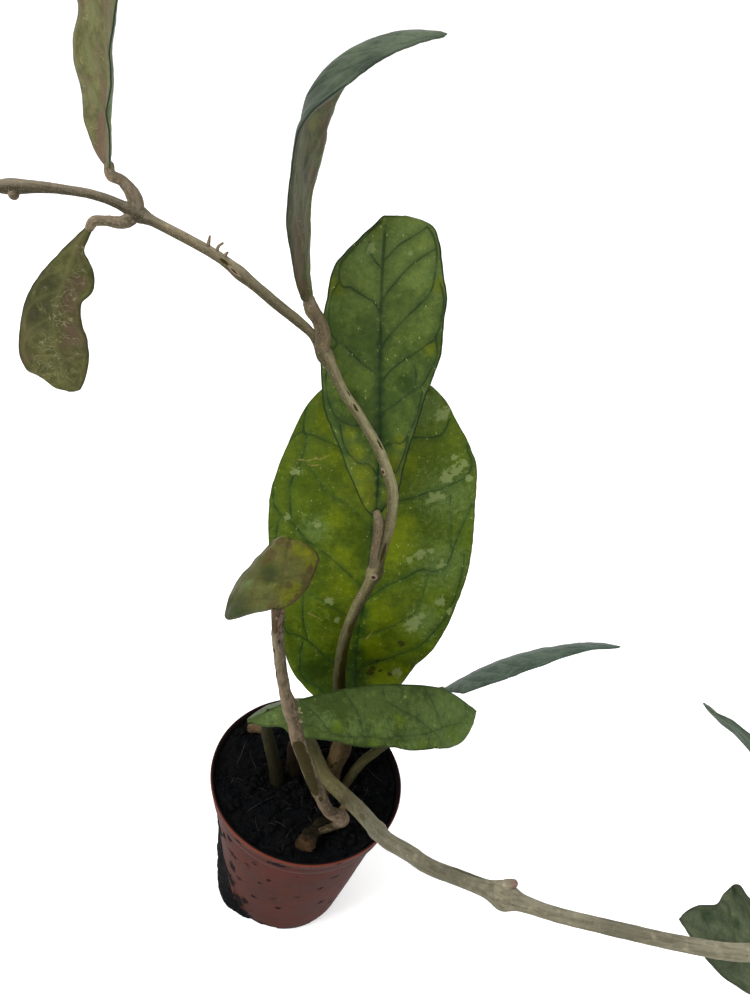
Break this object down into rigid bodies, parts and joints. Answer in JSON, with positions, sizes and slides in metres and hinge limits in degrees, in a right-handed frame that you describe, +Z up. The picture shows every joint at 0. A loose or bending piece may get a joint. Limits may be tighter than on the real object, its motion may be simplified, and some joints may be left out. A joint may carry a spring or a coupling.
{
  "type": "potted hoya finlaysonii",
  "caption": "Trailing hoya with waxy veined leaves on woody vines, rooted in peaty soil in a small round plastic nursery pot that stands on its base.",
  "frame": {"origin": "centre of the pot's underside, on the surface that it stands on", "axes": "+Z up; -Y towards the side that the plant is pictured from; +X to the right as seen from there"},
  "size_m": [0.2356, 0.1221, 0.2872],
  "materials": {
    "pot_plastic": "dull terracotta-brown plastic with soil stains",
    "peat": "rough near-black peat with fine fibres",
    "vine_bark": "matt beige-green bark with pale specks",
    "old_wood": "dry light brown bark",
    "leaf_skin": "waxy satin green with darker veins"
  },
  "bodies": {
    "root": {"pot": "pot_plastic", "potting_soil": "peat", "main_vine": "vine_bark", "trailing_vine": "vine_bark", "short_stem": "old_wood", "leaf_6_stalk": "vine_bark", "leaf_7_stalk": "vine_bark", "old_stub": "old_wood", "bark_chip_1": "old_wood", "bark_chip_2": "old_wood", "leaf_1": "leaf_skin", "leaf_2": "leaf_skin", "leaf_3": "leaf_skin", "leaf_4": "leaf_skin", "leaf_5": "leaf_skin", "leaf_6": "leaf_skin", "leaf_7": "leaf_skin", "leaf_8": "leaf_skin", "leaf_9": "leaf_skin", "leaf_10": "leaf_skin"}
  },
  "joints": []
}
